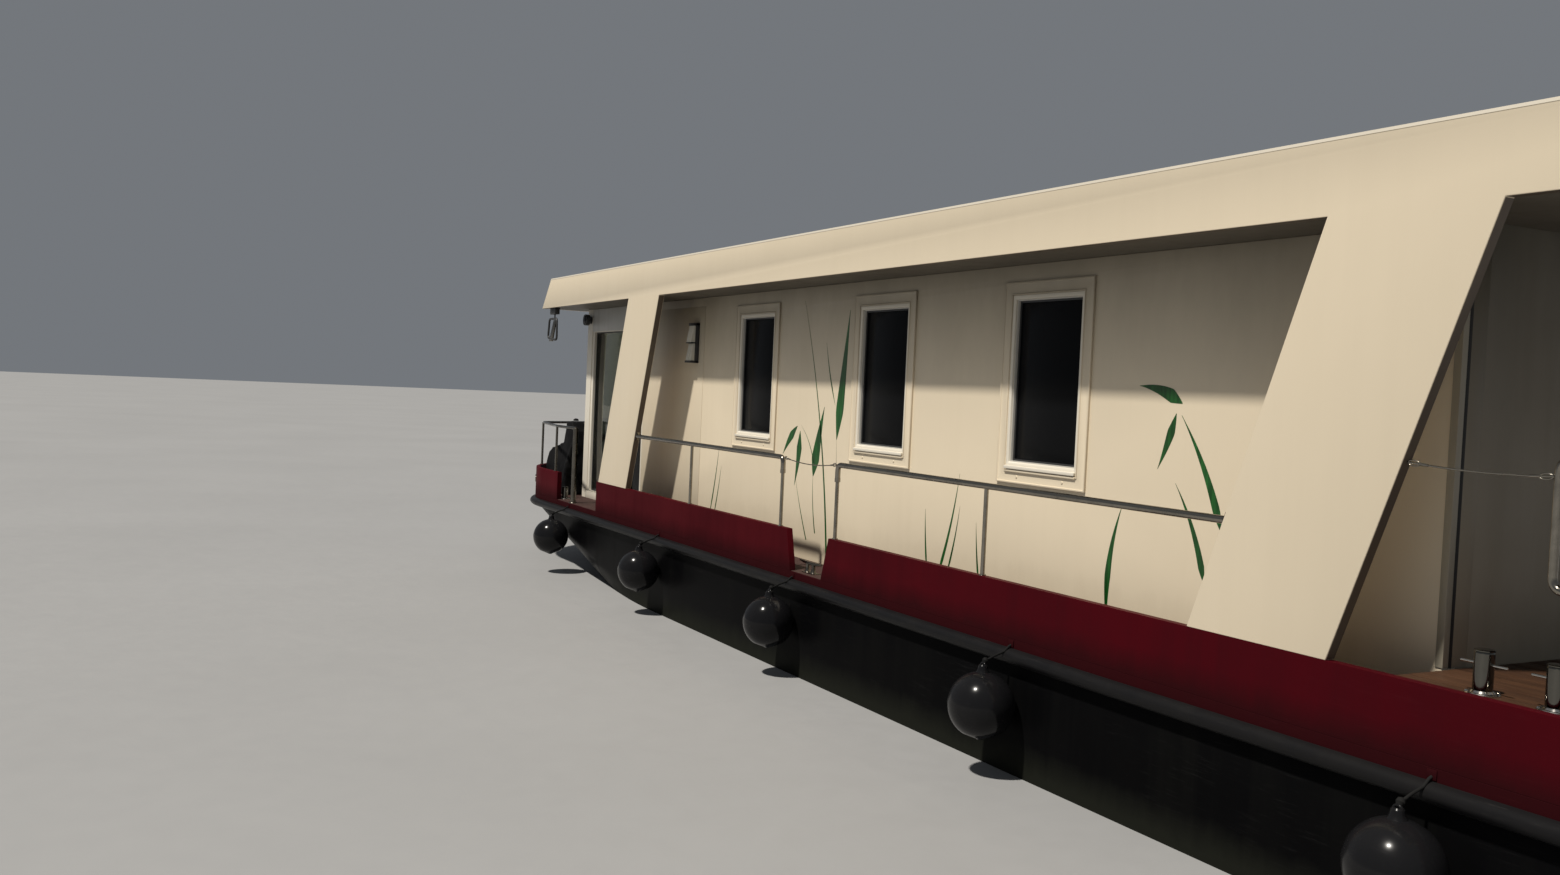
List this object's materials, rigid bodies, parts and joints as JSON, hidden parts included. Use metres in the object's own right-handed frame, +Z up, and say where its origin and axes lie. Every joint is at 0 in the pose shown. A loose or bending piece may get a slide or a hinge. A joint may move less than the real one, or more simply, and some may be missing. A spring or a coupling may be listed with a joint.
{
  "type": "houseboat",
  "caption": "Flat-bottomed steel houseboat with a long panelled cabin, slanted side frames, slab roof, planked stern terrace, glazed front, tube rails, ball fenders, rudder and propeller.",
  "frame": {"origin": "middle of the hull's flat bottom, midway along the length over the rub rail", "axes": "+X to the bow, +Y to port, +Z up"},
  "size_m": [14.99, 5.1814, 3.926],
  "materials": {
    "hull_black": "glossy black hull paint",
    "burgundy_paint": "satin burgundy paint",
    "black_rubber": "wet-looking black rubber",
    "bronze": "cast bronze",
    "engine_paint": "painted casting",
    "deck_planks": "oiled reddish-brown planks",
    "cream_panel": "satin cream panel",
    "white_plastic": "white window plastic",
    "window_glass": "dark tinted glass",
    "floor_laminate": "laminate boards",
    "stainless_steel": "polished stainless tube",
    "lamp_glass": "opal lamp cover",
    "dark_plastic": "charcoal plastic",
    "black_cloth": "black coated cloth"
  },
  "bodies": {
    "boat": {"hull": "hull_black", "main_deck": "burgundy_paint", "rub_rail_port": "black_rubber", "rub_rail_starboard": "black_rubber", "engine": "engine_paint", "stern_platform": "burgundy_paint", "terrace_deck": "deck_planks", "bulwark_aft_port": "burgundy_paint", "bulwark_aft_starboard": "burgundy_paint", "bulwark_front_port": "burgundy_paint", "bulwark_front_starboard": "burgundy_paint", "bow_bulwark": "burgundy_paint", "cabin_floor": "floor_laminate", "side_wall_port": "cream_panel", "side_wall_starboard": "cream_panel", "aft_wall": "cream_panel", "front_frame": "white_plastic", "window_1_port": "white_plastic", "window_1_starboard": "white_plastic", "window_2_port": "white_plastic", "window_2_starboard": "white_plastic", "window_3_port": "white_plastic", "window_3_starboard": "white_plastic", "side_glazing_port": "window_glass", "side_glazing_starboard": "window_glass", "front_glazing": "window_glass", "roof": "cream_panel", "side_frame_port": "cream_panel", "side_frame_starboard": "cream_panel", "front_fascia": "cream_panel", "aft_fascia": "cream_panel", "handrail_front_port": "stainless_steel", "handrail_front_starboard": "stainless_steel", "handrail_aft_port": "stainless_steel", "handrail_aft_starboard": "stainless_steel", "bow_rail": "stainless_steel", "stern_rail": "stainless_steel", "side_gate_wire_port": "stainless_steel", "side_gate_wire_starboard": "stainless_steel", "stern_gate_wire_port": "stainless_steel", "stern_gate_wire_starboard": "stainless_steel", "stern_bollards_port": "stainless_steel", "stern_bollards_starboard": "stainless_steel", "bow_bollard_port": "stainless_steel", "bow_bollard_starboard": "stainless_steel", "side_cleat_port": "stainless_steel", "side_cleat_starboard": "stainless_steel", "wall_lamp_port": "lamp_glass", "wall_lamp_starboard": "lamp_glass", "deck_lamp_port": "dark_plastic", "deck_lamp_starboard": "dark_plastic", "helm_console": "white_plastic", "covered_winch": "black_cloth"},
    "rudder": {"rudder": "hull_black"},
    "propeller": {"propeller": "bronze"},
    "helm_wheel": {"helm_wheel": "dark_plastic"},
    "engine_hatch": {"engine_hatch": "deck_planks"},
    "aft_door": {"aft_door": "window_glass"},
    "sliding_door": {"sliding_door": "window_glass"}
  },
  "joints": [
    {"name": "propeller_spin", "type": "hinge", "parent": "boat", "child": "propeller", "pos_m": [-6.8, 0, 0.268], "axis": [1, 0, 0], "continuous": true},
    {"name": "helm_turn", "type": "hinge", "parent": "boat", "child": "helm_wheel", "pos_m": [4.8, -1.05, 2.34], "axis": [1, 0, 0], "range_deg": [-720, 720]},
    {"name": "rudder_turn", "type": "hinge", "parent": "boat", "child": "rudder", "pos_m": [-7.08, 0, 0.3], "axis": [0, 0, 1], "range_deg": [-35, 35]},
    {"name": "hatch_lift", "type": "hinge", "parent": "boat", "child": "engine_hatch", "pos_m": [-5.63, 0, 1.648], "axis": [0, 1, 0], "range_deg": [0, 80]},
    {"name": "aft_door_swing", "type": "hinge", "parent": "boat", "child": "aft_door", "pos_m": [-5.456, 0.858, 2.6], "axis": [0, 0, 1], "range_deg": [0, 90]},
    {"name": "sliding_door_slide", "type": "slide", "parent": "boat", "child": "sliding_door", "axis": [0, 1, 0], "range_m": [0, 1.5]}
  ],
  "couplings": [
    {"joint": "rudder_turn", "follows": "helm_turn", "ratio": 0.048611}
  ]
}
